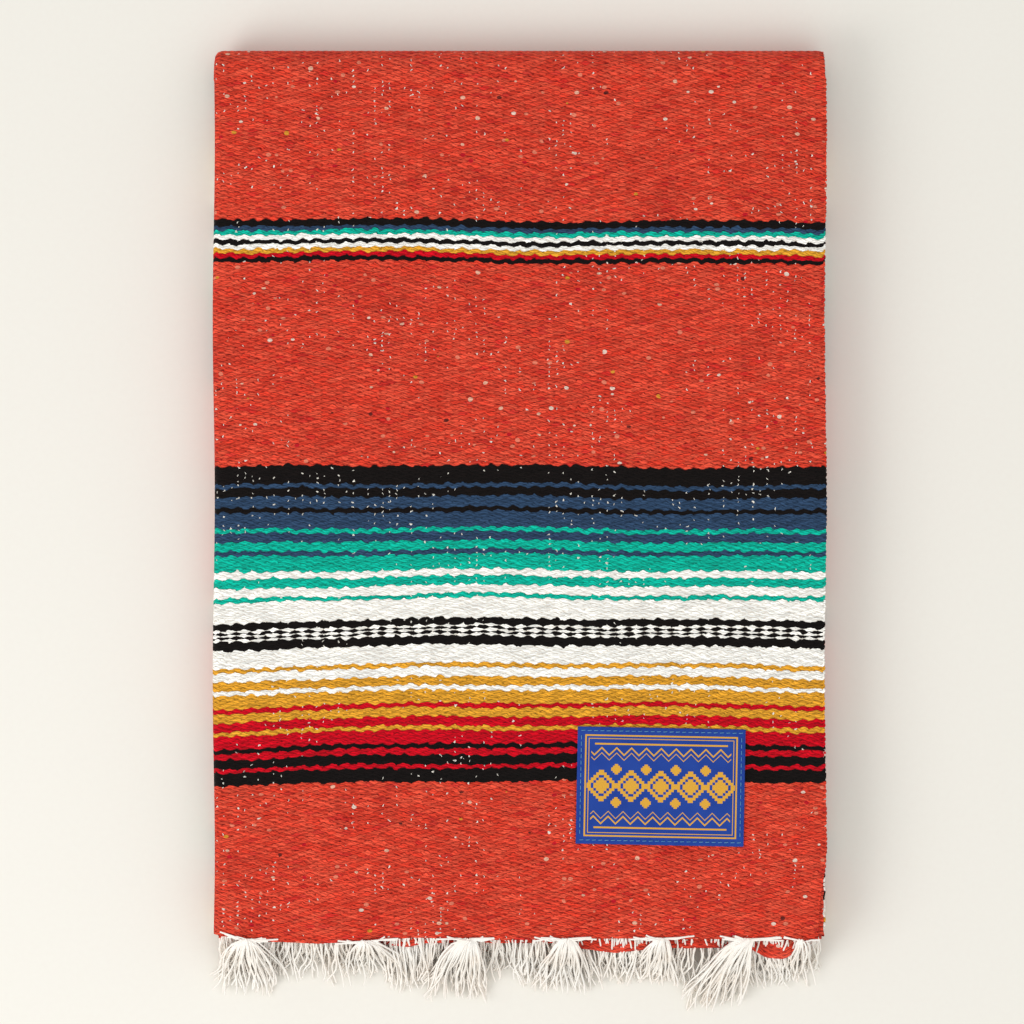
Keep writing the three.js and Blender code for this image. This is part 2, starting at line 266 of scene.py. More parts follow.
def sheet_place(s, u, inner):
    """A point of the outer sheet's face, or of its inner side."""
    x, depth = section(u, inner)
    y, z, ny, nz = belt(min(max(s, 0), ENDS[-1]))
    on_top = s < ENDS[0]
    if not inner:
        over = 0.5 * (1 + math.cos(math.pi * (u / WARP - math.floor(s / PICK))))
        depth -= RELIEF * (over - 0.5) * between(s, 0, 0.002)
        edge = between(u, 0, EDGE_ROUND) * between(s, 0, EDGE_ROUND)
        depth += 0.0007 * (1 - edge)
        x += 0.0005 * (over - 0.3) * (1 - between(u, 0, 0.002))
    if on_top:
        local = x - MIDDLE
        x -= max(local, 0) / (RIGHT - MIDDLE) * RIGHT_DRAW * (1 - between(s, 0.012, 0.052))
        x += 0.0006 * math.sin(31 * s) * between(abs(local), 0.1, 0.17)
        y += wander(local, s) - table(FIRST_EDGE, local) * (1 - between(s, 0, 0.05))
        z += swell(local, s)
    return x, y + ny * depth, z + nz * depth


TOTAL_U = FLAT + math.pi * BULGE
fine_u = np.arange(0, TOTAL_U, WARP / 2)
fine_s = np.concatenate([[0.0], np.arange(0.5 * PICK, ENDS[1] + PICK, PICK)])
top_sheet = wall_piece("top_sheet", sheet_place, fine_s, fine_u, 6)
print("top sheet", len(top_sheet.data.polygons), "faces")

# %% The rest of the outer sheet, under the stack and round the front fold
SEAM = 0.0003  # between the two pieces of the outer sheet
edge_u = np.arange(0, 0.012, 0.0015)
flat_u = np.linspace(0.012, FLAT, 60)
fold_u = np.linspace(FLAT, TOTAL_U, 12)[1:]
coarse_u = np.concatenate([edge_u, flat_u, fold_u])
coarse_s = np.arange(fine_s[-1] + SEAM, SECOND_START, 0.0045)
lower_sheet = wall_piece("lower_sheet", sheet_place, coarse_s, coarse_u, 3)
print("lower sheet", len(lower_sheet.data.polygons), "faces")

# %% [markdown]
# ## The layers inside
# Inside the outer sheet lie three more in each packet. They share one long solid, swept along the
# same belt, with a slit between the sheets at the right and a round fold at the left, so every edge
# that shows is a real edge.

# %% Inner layers
SLIT = 0.012  # how deep the slit between the sheets is


def inner_outline():
    """(x, depth, side) round sheets two to four. Side is above 0 at the right edges, which wander."""
    outline = [(AXIS_LEFT, 4 * PITCH - TOUCH, 0.0)]

    def round_edge(centre, radius, side, count):
        for a in np.linspace(-math.pi / 2, math.pi / 2, count):
            x, depth = RIGHT - radius + radius * math.cos(a), centre - radius * math.sin(a)
            outline.append((x, depth, side))

    round_edge(3 * PITCH, PITCH - TOUCH, 1.0, 9)
    outline.append((RIGHT - SLIT, 2 * PITCH + TOUCH, 0.4))
    outline.append((RIGHT - SLIT, 2 * PITCH - TOUCH / 2, 0.4))
    round_edge(1.5 * PITCH, PITCH / 2 - TOUCH, 2.0, 7)
    outline.append((AXIS_LEFT, PITCH + TOUCH, 0.0))
    radius = PITCH - SEAM
    for a in np.linspace(0, math.pi, 8)[1:]:
        outline.append((AXIS_LEFT - radius * math.sin(a), 2 * PITCH - radius * math.cos(a), 0.0))
    return outline


def inner_layers():
    """The outline swept along the belt, and closed at both ends."""
    outline = inner_outline()
    stations = np.arange(0.0015, SECOND_START, 0.0032)
    across = np.cumsum([0] + [math.dist(a[:2], b[:2]) for a, b in zip(outline, outline[1:])])
    points, uvs = [], []
    for s in stations:
        y, z, ny, nz = belt(s)
        lean = 0.0022 * between(s, ENDS[1] + 0.3, ENDS[2]) * between(ENDS[3] + 0.1 - s, 0, 0.1)
        for (x, depth, side), u in zip(outline, across):
            drift = 0.0011 * noise.noise(Vector((s * 28, side * 5, 2.2)))
            drift += 0.0004 * math.sin(math.pi * s / PICK / 2)
            out = min(side, 1) * (drift - 0.0004 + lean)
            points.append((x + out, y + ny * depth, z + nz * depth))
            uvs.append((u, s))
    count = len(outline)
    faces = []
    for r in range(len(stations) - 1):
        for c in range(count):
            a, b = r * count + c, r * count + (c + 1) % count
            faces.append((a, a + count, b + count, b))
    faces.append(tuple(range(count)))
    faces.append(tuple(range(len(points) - 1, len(points) - count - 1, -1)))
    return finish_mesh("inner_layers", points, faces, uvs)


inner_sheets = inner_layers()
print("inner layers", len(inner_sheets.data.polygons), "faces")

# %% [markdown]
# ## The second fringed end
# Four sheets end together here, each a step behind the one above. Where their edge stands out past
# the stack it sinks a little, most of all near the right. They are thin closed sheets of their own,
# because each edge shows.

# %% Second end
SAG = 55  # how fast a lip that stands out past the stack sinks, in metres for each square metre
LIP = 0.0025  # how far it stands out before it sinks


def second_end_piece():
    """Four thin closed sheets, one above the other."""
    points, faces, uvs = [], [], []
    xs = np.linspace(AXIS_LEFT - 0.002, RIGHT - 0.0012, 140)
    depths = [0.0, 0.0016, 0.004, 0.007, 0.011, 0.016, 0.024, END_LENGTH + 0.001]
    for sheet in range(4):
        low = 2 * PACKET + sheet * PITCH + TOUCH
        for face, rise in ((0, WALL), (1, 0.0)):
            start = len(points)
            for back in depths:
                for x in xs:
                    local = x - MIDDLE
                    out = table(SECOND_EDGE, local) + 0.0005 * noise.noise(Vector((x * 130, sheet, 0)))
                    y = FRONT - out + 0.0011 * (3 - sheet) + back
                    sag = min(0.010, SAG * max(0, FRONT - LIP - y) ** 2)
                    round_edge = 0.0006 * (1 - between(back, 0, 0.0016)) * (1 if face else -1)
                    points.append((x, y, low + rise - sag + round_edge))
                    uvs.append((RIGHT - x, back + 0.001))
            faces += grid_faces(len(depths), len(xs), start, bool(face))
        first = len(points) - 2 * len(depths) * len(xs)
        top = [i for i, _ in rim(len(depths), len(xs), first)]
        bottom = [i + len(depths) * len(xs) for i in top]
        for a, b, c, d in zip(top, top[1:] + top[:1], bottom[1:] + bottom[:1], bottom):
            faces.append((b, a, d, c))
    return finish_mesh("second_end_sheets", points, faces, uvs)


second_end = second_end_piece()
print("second end", len(second_end.data.polygons), "faces")

# %% [markdown]
# ## Shader maths
# Materials are written as sums, because a long chain of nodes is easier to read that way. A small
# class wraps a node's socket and gives it the usual operators.

# %% The expression class
def sum_with(operation):
    """A method that does one sum with a Math node."""
    def method(self, *others):
        return self.maths(operation, *others)
    return method


class Value:
    """A node's output, which can be added, multiplied and compared as a number can."""

    def __init__(self, shader, socket):
        self.shader, self.socket = shader, socket

    def maths(self, operation, *others):
        values = {0: self, **{i + 1: other for i, other in enumerate(others)}}
        return self.shader.add("ShaderNodeMath", {"operation": operation}, values)

    def __rsub__(self, other):
        return self.maths("MULTIPLY", -1.0).maths("ADD", other)

    def capped(self):
        """Held between 0 and 1."""
        return self.shader.add("ShaderNodeClamp", {}, {0: self})

    __add__ = __radd__ = sum_with("ADD")
    __sub__ = sum_with("SUBTRACT")
    __mul__ = __rmul__ = sum_with("MULTIPLY")
    __truediv__ = sum_with("DIVIDE")
    __lt__ = sum_with("LESS_THAN")
    __gt__ = sum_with("GREATER_THAN")
    round = sum_with("ROUND")
    floor = sum_with("FLOOR")
    size = sum_with("ABSOLUTE")
    part = sum_with("FRACT")
    larger = sum_with("MAXIMUM")


class Shader:
    """One material and the nodes that it is made of."""

    def __init__(self, name):
        self.material = bpy.data.materials.new(name)
        self.material.use_nodes = True
        self.tree = self.material.node_tree
        self.tree.nodes.clear()

    def add(self, kind, settings, sockets, out=0):
        """Any node: its settings are set first, then its sockets' values or links."""
        node = self.tree.nodes.new(kind)
        for name, value in settings.items():
            setattr(node, name, value)
        for key, value in sockets.items():
            if isinstance(value, Value):
                self.tree.links.new(value.socket, node.inputs[key])
            else:
                node.inputs[key].default_value = value
        return Value(self, node.outputs[out])

    def steps(self, share, stops):
        """A colour ramp without blending, from (position, colour) rows."""
        found = self.add("ShaderNodeValToRGB", {}, {0: share})
        ramp = found.socket.node.color_ramp
        ramp.interpolation = "CONSTANT"
        while len(ramp.elements) < len(stops):
            ramp.elements.new(1.0)
        for element, (at, colour) in zip(ramp.elements, stops):
            element.position = at
            element.color = (*colour, 1)
        return found

    def mix(self, share, first, second):
        """Colours mixed by a share from 0 to 1."""
        pair = [(*c, 1) if isinstance(c, tuple) else c for c in (first, second)]
        return self.add("ShaderNodeMix", {"data_type": "RGBA"}, {0: share, 6: pair[0], 7: pair[1]}, 2)

    def times(self, colour, value):
        """A colour made lighter or darker."""
        grey = self.add("ShaderNodeCombineColor", {}, {0: value, 1: value, 2: value})
        settings = {"data_type": "RGBA", "blend_type": "MULTIPLY"}
        return self.add("ShaderNodeMix", settings, {0: 1.0, 6: colour, 7: grey}, 2)

    def noise(self, place, scale, detail=2.0):
        sockets = {"Vector": place, "Scale": scale, "Detail": detail}
        return self.add("ShaderNodeTexNoise", {}, sockets)

    def place(self, x, y, z=0.0):
        return self.add("ShaderNodeCombineXYZ", {}, {0: x, 1: y, 2: z})

    def chance(self, x, y, z=0.0):
        """A fixed random number for each whole x, y and z."""
        sockets = {"Vector": self.place(x, y, z)}
        return self.add("ShaderNodeTexWhiteNoise", {"noise_dimensions": "3D"}, sockets)

    def channel(self, colour, index):
        """Red, green or blue of a colour, by its index."""
        return self.add("ShaderNodeSeparateColor", {}, {0: colour}, index)

    def weave_map(self):
        """The cloth's map, and its distances across and along."""
        uv = self.add("ShaderNodeUVMap", {"uv_map": "Weave"}, {})
        return uv, *(self.add("ShaderNodeSeparateXYZ", {}, {0: uv}, axis) for axis in (0, 1))

    def surface(self, colour, height, roughness, bump, depth, sheen=0.04):
        """The finished cloth: its colour, and bump of a strength and depth from its height."""
        normal = self.add("ShaderNodeBump", {}, {"Strength": bump, "Distance": depth, "Height": height})
        sockets = {
            "Base Color": colour, "Roughness": roughness, "Sheen Weight": sheen, "Normal": normal,
            "Specular IOR Level": 0.1,
        }
        cloth = self.add("ShaderNodeBsdfPrincipled", {}, sockets)
        output = self.tree.nodes.new("ShaderNodeOutputMaterial")
        self.tree.links.new(cloth.socket, output.inputs["Surface"])
        return self.material


def dye(red, green, blue):
    """A dye's linear colour from its usual 0 to 255 numbers."""
    def linear(c):
        return ((c / 255 + 0.055) / 1.055) ** 2.4 if c > 10 else c / 255 / 12.92
    return linear(red), linear(green), linear(blue)


# %% [markdown]
# ## The weaver's card
# The stripes are a list of dyes and how many passes of the weft each gets, from the fringed end on.
# It is one wide band, plain ground, one narrow band and plain ground again, over and over.

# %% The card
DYES = {
    "brick": dye(224, 62, 42), "black": dye(20, 15, 14), "navy": dye(48, 72, 102),
    "teal": dye(8, 186, 160), "white": dye(254, 252, 246), "gold": dye(232, 164, 48),
    "scarlet": dye(208, 8, 30),
}
GROUND = 92  # picks of plain ground between two bands
END_GROUND = 71  # picks of plain ground before the first band
WARM = [
    ("black", 6), ("scarlet", 2), ("black", 4), ("scarlet", 3), ("black", 2), ("scarlet", 6),
    ("gold", 2), ("scarlet", 4), ("gold", 4), ("scarlet", 2), ("gold", 6), ("white", 2),
    ("gold", 4), ("white", 4), ("gold", 2), ("white", 8),
]
COOL = [
    ("black", 4), ("white", 1), ("black", 1), ("white", 1), ("black", 1), ("white", 1),
    ("black", 3), ("white", 9), ("teal", 2), ("white", 4), ("teal", 4), ("white", 3), ("teal", 7),
    ("navy", 2), ("teal", 4), ("navy", 4), ("teal", 2), ("navy", 7), ("black", 2), ("navy", 5),
    ("black", 4), ("navy", 2), ("black", 8),
]
NARROW = [
    ("black", 2), ("scarlet", 2), ("gold", 2), ("white", 2), ("black", 2), ("white", 2),
    ("teal", 2), ("navy", 2), ("black", 3),
]


def picks_of(card):
    return sum(count for _, count in card)


REPEAT = picks_of(WARM) + picks_of(COOL) + picks_of(NARROW) + 2 * GROUND
print("repeat", REPEAT, "picks,", round(REPEAT * PICK, 3), "m")


def card_colour(shader, pick, card, start):
    """The dye of a pick in one band, and whether the pick is in it."""
    total = picks_of(card)
    stops, at = [], 0
    for name, count in card:
        stops.append((at / total, DYES[name]))
        at += count
    colour = shader.steps((pick - start + 0.5) / total, stops)
    inside = (pick > start - 0.5) * (pick < start + total - 0.5)
    return colour, inside


# %% [markdown]
# ## The weave
# In this plain weave each pick of the weft goes over every second warp thread, and the next pick
# over the others. The shader finds, for each point, the float that lies on top, and gives it its
# own pick's dye. Stripe edges then scallop by themselves, and single picks of two dyes make the
# small check. Each float is two slanting plies.
# The hollows between the floats and between the plies get painted shade.

# %% The weave material
NEPS = [  # from which random number on, and the dye
    (0.0, dye(244, 140, 112)), (0.45, dye(200, 10, 40)), (0.62, dye(246, 196, 168)),
    (0.76, dye(60, 30, 30)), (0.84, dye(224, 160, 50)), (0.9, dye(250, 232, 214)),
]
WARP_SPOT = 0.00032  # half-width of a warp thread where it shows


def weave_material():
    """The one material of all the blanket's cloth."""
    sh = Shader("serape_weave")
    _, u, v = sh.weave_map()
    # hand-beaten yarn strays a little from its place, so each float is a little different
    stray = sh.noise(sh.place(u * 330, v * 520), 1.0, 1.0) - 0.5
    drift = sh.noise(sh.place(u * 290, v * 470, 5.0), 1.0, 1.0) - 0.5
    across, along = u / WARP + stray * 0.9, v / PICK - 0.5 + drift * 1.3
    floats = []
    for parity in (0, 1):
        pick = ((along - parity) / 2).round() * 2 + parity
        centre = ((across - parity) / 2).round() * 2 + parity
        dy, dx = along - pick, across - centre
        floats.append((pick, centre, dy, dx, dy * dy + dx * dx * 0.85))
    wins = floats[0][4] < floats[1][4]
    pick, centre, dy, dx = (b + wins * (a - b) for a, b in zip(floats[0][:4], floats[1][:4]))

    card_pick = pick - END_GROUND
    card_pick = card_pick - (card_pick / REPEAT).floor() * REPEAT
    colour, ground = DYES["brick"], 1.0
    start = 0
    for card, gap in ((WARM, 0), (COOL, GROUND), (NARROW, GROUND)):
        band, inside = card_colour(sh, card_pick, card, start)
        inside = inside * (pick > END_GROUND - 0.5)
        colour = sh.mix(inside, colour, band)
        ground = (1 - inside) * ground
        start += picks_of(card) + gap

    ripple = sh.noise(sh.place(u * 420, v * 900), 1.0) - 0.5
    twist = dy - dx * 0.62 + ripple * 0.5 + sh.chance(pick, centre, 7.0) * 0.45
    ply = (twist + 0.5).part() * 2 - 1
    ply = 1 - ply * ply
    crown = (1 - dx * dx * 0.78 - dy * dy * 0.42).capped()
    height = ply * 0.42 + crown * 0.75
    fibre = sh.noise(sh.place(u * 900, v * 3200), 1.0, 3.0)

    shade = sh.chance(pick, centre)
    patch = sh.noise(sh.place(u * 26, v * 34), 1.0, 3.0)
    lift = 0.70 + 0.34 * shade + 0.66 * fibre
    heather = sh.mix(sh.chance(centre, pick, 3.0) * 0.5, colour, dye(244, 104, 76))
    heather = sh.mix((sh.chance(centre, pick, 5.0) > 0.95) * 0.45, heather, dye(196, 12, 34))
    heather = sh.mix((patch - 0.5).capped() * 1.5, heather, dye(178, 40, 30))
    colour = sh.mix(ground, colour, heather)
    # Painted shade: hollows between floats and plies get a darker copy of the dye, crowns keep the dye.
    painted_hollow_shade = sh.mix(ground, sh.times(colour, 0.34), dye(118, 14, 12))
    is_white = sh.channel(colour, 2) > 0.6
    painted_hollow_shade = sh.mix(is_white, painted_hollow_shade, dye(232, 222, 208))
    unshaded_share = ((height - 0.40) * 1.6).capped()
    colour = sh.mix(unshaded_share, painted_hollow_shade, sh.times(colour, lift))

    # neps: little blobs of other fibre, caught in the ground yarn
    spots = sh.place(u * 230, v * 330)
    far = sh.add("ShaderNodeTexVoronoi", {}, {"Vector": spots, "Scale": 1.0})
    cell = sh.add("ShaderNodeTexVoronoi", {}, {"Vector": spots, "Scale": 1.0}, 1)
    nep = sh.steps(sh.channel(cell, 0), NEPS)
    seen = (far < 0.34) * (sh.channel(cell, 1) > 0.93) * ground
    colour = sh.mix(seen * 0.85, colour, nep)

    # white dots where a warp thread shows between two floats of its column
    zone = (sh.noise(sh.place(u * 16, v * 22), 1.0, 1.0) - 0.43) * 3.0
    line = sh.chance(across.round(), 0.0, 8.0)
    for other_pick, _, other_dy, other_dx, _ in floats:
        side = (1 - other_dx.size()) * (WARP / WARP_SPOT)
        near = side * side + other_dy * other_dy * 6
        lucky = sh.chance(across.round(), other_pick, 9.0) < (zone * 0.8 * line).capped()
        colour = sh.mix((near < 1.0) * lucky, colour, dye(250, 244, 232))
    return sh.surface(colour, height + fibre * 0.35 + seen * 0.4, 0.92, 1.0, 0.0010)


weave = weave_material()
for piece in (top_sheet, lower_sheet, inner_sheets, second_end):
    piece.data.materials.append(weave)

# %% [markdown]
# ## Fringe
# The warp threads run out at both ends and are gathered in bunches. Each thread is a line of a few
# points laid over the edge and down to the table, and a Geometry Nodes tree turns every line into a
# round yarn.

# %% The yarn tree
def thread_tree():
    """A tree that makes the edges of a mesh into round yarns, and its inputs' identifiers."""
    tree = bpy.data.node_groups.new("yarn_from_lines", "GeometryNodeTree")
    tree.interface.new_socket("Geometry", in_out="INPUT", socket_type="NodeSocketGeometry")
    radius = tree.interface.new_socket("Radius", in_out="INPUT", socket_type="NodeSocketFloat")
    material = tree.interface.new_socket("Material", in_out="INPUT", socket_type="NodeSocketMaterial")
    tree.interface.new_socket("Geometry", in_out="OUTPUT", socket_type="NodeSocketGeometry")
    chain = [
        "NodeGroupInput", "GeometryNodeMeshToCurve", "GeometryNodeCurveToMesh",
        "GeometryNodeRealizeInstances", "GeometryNodeSetShadeSmooth", "GeometryNodeSetMaterial",
        "NodeGroupOutput",
    ]
    nodes = [tree.nodes.new(kind) for kind in chain]
    for first, second in zip(nodes, nodes[1:]):
        tree.links.new(first.outputs[0], second.inputs[0])
    circle = tree.nodes.new("GeometryNodeCurvePrimitiveCircle")
    circle.inputs["Resolution"].default_value = 5
    tree.links.new(nodes[0].outputs["Radius"], circle.inputs["Radius"])
    tree.links.new(circle.outputs[0], nodes[2].inputs["Profile Curve"])
    nodes[2].inputs["Fill Caps"].default_value = True
    tree.links.new(nodes[0].outputs["Material"], nodes[5].inputs["Material"])
    return tree, radius.identifier, material.identifier


YARN_TREE, RADIUS_ID, MATERIAL_ID = thread_tree()


def yarns(name, lines, radius, material):
    """One plain mesh of round yarns along the lines."""
    points, edges = [], []
    for line in lines:
        edges += [(len(points) + i, len(points) + i + 1) for i in range(len(line) - 1)]
        points += [tuple(p) for p in line]
    mesh = bpy.data.meshes.new(name + "_lines")
    mesh.from_pydata(points, edges, [])
    source = bpy.data.objects.new(name + "_lines", mesh)
    bpy.context.scene.collection.objects.link(source)
    modifier = source.modifiers.new("yarn", "NODES")
    modifier.node_group = YARN_TREE
    modifier[RADIUS_ID] = radius
    modifier[MATERIAL_ID] = material
    graph = bpy.context.evaluated_depsgraph_get()
    result = bpy.data.meshes.new_from_object(source.evaluated_get(graph))
    bpy.data.objects.remove(source)
    piece = bpy.data.objects.new(name, result)
    bpy.context.scene.collection.objects.link(piece)
    print(name, len(result.polygons), "faces")
    return piece


def cotton_material(name, light, dark):
    """Plain cotton yarn, which drifts between two close colours."""
    sh = Shader(name)
    place = sh.add("ShaderNodeTexCoord", {}, {}, 3)
    soft = sh.noise(place, 900.0, 3.0)
    broad = sh.noise(place, 60.0, 2.0)
    colour = sh.mix((broad * 1.2 - 0.2).capped(), dye(*dark), dye(*light))
    return sh.surface(sh.times(colour, 0.93 + 0.12 * soft), soft, 0.9, 0.5, 0.0003)


cotton = cotton_material("cream_cotton", (255, 254, 250), (255, 246, 236))

# %% The gathered threads of the first end
# root from the middle of the edge, sideways lean, half-spread and reach at the tip, in millimetres
BUNCHES = [
    {"x": -155.6, "lean": 0, "spread": 21, "reach": 35, "count": 64},
    {"x": -87, "lean": 5, "spread": 17, "reach": 23, "count": 54},
    {"x": -28.6, "lean": -9, "spread": 19, "reach": 38, "count": 70},
    {"x": 27.5, "lean": -3, "spread": 15, "reach": 34, "count": 64},
    {"x": 81.8, "lean": -2, "spread": 11, "reach": 29, "count": 54},
    {"x": 131.6, "lean": -19, "spread": 17, "reach": 43, "count": 84},
    {"x": 162, "lean": 0, "spread": 7, "reach": 29, "count": 18},
]


UPPER_YARN, LOWER_YARN = 0.00052, 0.0005  # radii
UNDER_THREADS, SECOND_THREADS = 330, 420


def edge_y(local):
    return FRONT - table(FIRST_EDGE, local)


def falling(root, tip, start_z, bend, wave, count=13):
    """A thread from its root over the edge, down to the table and on to its tip."""
    phase, rate = rng.uniform(0, 6.3), rng.uniform(3, 7)
    line = []
    for t in np.linspace(0, 1, count):
        x = root[0] + (tip[0] - root[0]) * t**bend + wave * t * math.sin(phase + rate * t)
        y = root[1] + (tip[1] - root[1]) * t + 0.5 * wave * t * math.cos(phase + rate * 1.3 * t)
        fall = between(t, 0.02, 0.92)
        z = start_z * (1 - fall) + 0.0006 + tip[2] * fall
        line.append((x, y, z))
    return line


upper_lines = []
for bunch in BUNCHES:
    for i in range(bunch["count"]):
        side = rng.uniform(-1, 1)
        x0 = MIDDLE + bunch["x"] / 1000
        y0 = edge_y(bunch["x"] / 1000)
        root = (x0 + side * 0.0026, y0 + rng.uniform(-0.001, 0.0008))
        reach = bunch["reach"] / 1000 * rng.uniform(0.68, 1.03)
        tip_x = x0 + (bunch["lean"] + side * bunch["spread"]) / 1000 + rng.normal(0, 0.0015)
        start_z = STACK + 0.0006 + 0.0024 * (1 - abs(side)) * rng.uniform(0.3, 1)
        tip = (tip_x, FRONT - reach, rng.uniform(0, 0.006))
        line = falling(root, tip, start_z, rng.uniform(0.45, 0.75), 0.0026)
        if i % 6 == 0:
            pull = rng.uniform(0.006, 0.019) * (1 if side > 0 else -1)
            start_x = x0 + pull
            lie = STACK + 0.0007 + swell(start_x - MIDDLE, 0.002)
            from_edge = [(start_x, edge_y(start_x - MIDDLE) + rng.uniform(-0.0006, 0.0022), lie)]
            half_y = edge_y(x0 - MIDDLE + 0.5 * pull) + rng.uniform(-0.0008, 0.001)
            from_edge.append((x0 + 0.5 * pull, half_y, lie + 0.0006))
            line = from_edge + line
        upper_lines.append(line)
for _ in range(UNDER_THREADS):
    x0 = rng.uniform(LEFT + 0.004, RIGHT - 0.004)
    local = x0 - MIDDLE
    root = (x0, edge_y(local) + 0.0035)
    reach = rng.uniform(0.018, 0.030)
    tip = (x0 + rng.normal(0, 0.004), FRONT - reach, rng.uniform(0, 0.005))
    upper_lines.append(falling(root, tip, STACK - rng.uniform(0.003, 0.008), 1.0, 0.0028, 10))
fringe_upper = yarns("fringe_first_end", upper_lines, UPPER_YARN, cotton)

# %% The looser threads of the second end
lower_lines = []
for _ in range(SECOND_THREADS):
    x0 = rng.uniform(LEFT + 0.003, RIGHT - 0.003)
    local = x0 - MIDDLE
    out = table(SECOND_EDGE, local)
    root = (x0, FRONT - out + 0.001)
    reach = out + rng.uniform(0.014, 0.024) + 0.006 * math.sin(70 * local)
    tip_x = x0 + 0.003 * math.sin(55 * local) + rng.normal(0, 0.003)
    tip = (tip_x, FRONT - max(reach, 0.016), rng.uniform(0, 0.003))
    start_z = 3 * PACKET - rng.uniform(0.001, 0.008) - SAG * max(0, out - LIP) ** 2
    lower_lines.append(falling(root, tip, start_z, 1.0, 0.0026, 10))
fringe_lower = yarns("fringe_second_end", lower_lines, LOWER_YARN, cotton)

# %% [markdown]
# ## Selvedge turns
# At the right edge each weft thread turns back into the cloth. These small turns are short yarns
# bent round the edge, with the dye of their own pick, so they carry the weave's UV map.

# %% Selvedge turns
FIRST_TURN = 0.004
TURN_YARN = 0.00062  # radius


def selvedge_turns():
    """A half-round yarn at the right edge for every second pick."""
    lines = []
    for s in np.arange(FIRST_TURN, ENDS[0], 2 * PICK):
        side = 0.0009 * (0.6 + 0.6 * rng.random())
        x, y, z = sheet_place(s, 0.0012, False)
        line = []
        for a in np.linspace(-0.2, math.pi + 0.2, 6):
            turn_x = x + 0.0005 + side * math.sin(a)
            line.append((turn_x, y - 0.0012 * math.cos(a), z - 0.0011 + 0.0004 * math.sin(a)))
        lines.append(line)
    piece = yarns("selvedge_turns", lines, TURN_YARN, weave)
    mesh = piece.data
    layer = mesh.uv_layers.new(name="Weave")
    first = sheet_place(FIRST_TURN, 0, False)[1]
    for loop in mesh.loops:
        y = mesh.vertices[loop.vertex_index].co.y
        layer.data[loop.index].uv = (0.0, FIRST_TURN + (y - first))
    return piece


turns = selvedge_turns()

# %% [markdown]
# ## The label
# A woven patch, sewn on near the fringe. It lies on the top sheet, so its height is the sheet's,
# and the stitches pull its rim down a little. Its figures are a plain border, zigzags and stepped
# diamonds.

# %% Label
LABEL = {"wide": 0.096, "long": 0.067, "x": 0.081, "y": 0.0875, "turn": math.radians(-1.1)}
LABEL_THICK = 0.0007


def label_place(a, b, lift):
    """A point of the label, a and b from its middle."""
    x = LABEL["x"] + a * math.cos(LABEL["turn"]) - b * math.sin(LABEL["turn"])
    y = LABEL["y"] + a * math.sin(LABEL["turn"]) + b * math.cos(LABEL["turn"])
    rim_gap = min(LABEL["wide"] / 2 - abs(a), LABEL["long"] / 2 - abs(b))
    pucker = 0.00025 * math.sin(a * 900) * math.sin(b * 900) * (1 - between(rim_gap, 0, 0.006))
    puff = 0.0005 * between(rim_gap, 0.001, 0.012)
    return MIDDLE + x, FRONT + y, STACK + swell(x, y) + 0.0004 + lift + puff + pucker


def label_sheet():
    """A thin closed sheet, in steps of about a millimetre."""
    wide = np.linspace(-0.5, 0.5, 97) * LABEL["wide"]
    long = np.linspace(-0.5, 0.5, 69) * LABEL["long"]
    points = [label_place(a, b, LABEL_THICK) for b in long for a in wide]
    points += [label_place(a, b, 0.0) for b in long for a in wide]
    uvs = [(a, b) for b in long for a in wide] * 2
    count = len(wide) * len(long)
    faces = grid_faces(len(long), len(wide)) + grid_faces(len(long), len(wide), count, True)
    top = [i for i, _ in rim(len(long), len(wide))]
    faces += [(b, a, a + count, b + count) for a, b in zip(top, top[1:] + top[:1])]
    return finish_mesh("label_patch", points, faces, uvs)


MOTIF = 17  # width of one diamond's field, in millimetres
ZIGZAG_LONG, ZIGZAG_HIGH = 8.5, 4.2


def label_material():
    """Blue ground with yellow figures, all worked out in millimetres from the middle."""
    sh = Shader("woven_label")
    uv, across, along = sh.weave_map()
    a, b = across * 1000, along * 1000

    def box(half_wide, half_long, line):
        outside = (a.size() - half_wide).larger(b.size() - half_long)
        return outside.size() < line

    def zigzag(level, line):
        wave = ((a / ZIGZAG_LONG).part() - 0.5).size() * 2
        return ((b.size() - level - wave * ZIGZAG_HIGH).size() < line) * (a.size() < 40)

    def stepped(value, size):
        return (value / size).floor() * size

    cell = (a / MOTIF + 0.5).part() * MOTIF - MOTIF / 2
    diamond = stepped(cell.size(), 1.5) + stepped(b.size(), 1.5)
    figure = (diamond < 8.0) * (diamond > 5.6)
    figure = figure.larger(diamond < 3.2) * (a.size() < 42.4)
    beside = ((a / MOTIF).part() - 0.5).size() * MOTIF
    small = (stepped(beside, 1.0) + stepped((b.size() - 9.5).size(), 1.0)) < 2.5
    bars = ((b.size() - 23.9).size() < 0.5) * (a.size() < 38)
    mask = figure.larger(small * (a.size() < 36)).larger(bars)
    for part in (box(43.2, 28.7, 0.45), box(41.4, 26.9, 0.22), zigzag(17.5, 0.55), zigzag(14.6, 0.3)):
        mask = mask.larger(part)
    grain = sh.noise(uv, 2600.0, 2.0)
    twill = ((a * 1.6 + b * 2.2).part() - 0.5).size() * 2
    cloud = sh.noise(uv, 60.0, 2.0)
    blue = sh.mix(cloud, dye(22, 52, 138), dye(40, 78, 168))
    gold = sh.mix(grain, dye(206, 148, 44), dye(240, 186, 74))
    # Painted shade and light: darker in the twill's grooves, lighter on its ridges; grain and cloud are
    # random tone.
    colour = sh.times(sh.mix(mask, blue, gold), 0.82 + 0.16 * twill + 0.2 * grain)
    return sh.surface(colour, twill * 0.5 + mask * 0.8 + grain * 0.4, 0.62, 0.5, 0.00025, 0.1)


label = label_sheet()
label.data.materials.append(label_material())
print("label", len(label.data.polygons), "faces")

# %% [markdown]
# ## Stitches
# The patch is held by small running stitches, the same short yarn again and again along its rim.

# %% Stitches round the label
STITCH_YARN = 0.0003  # radius


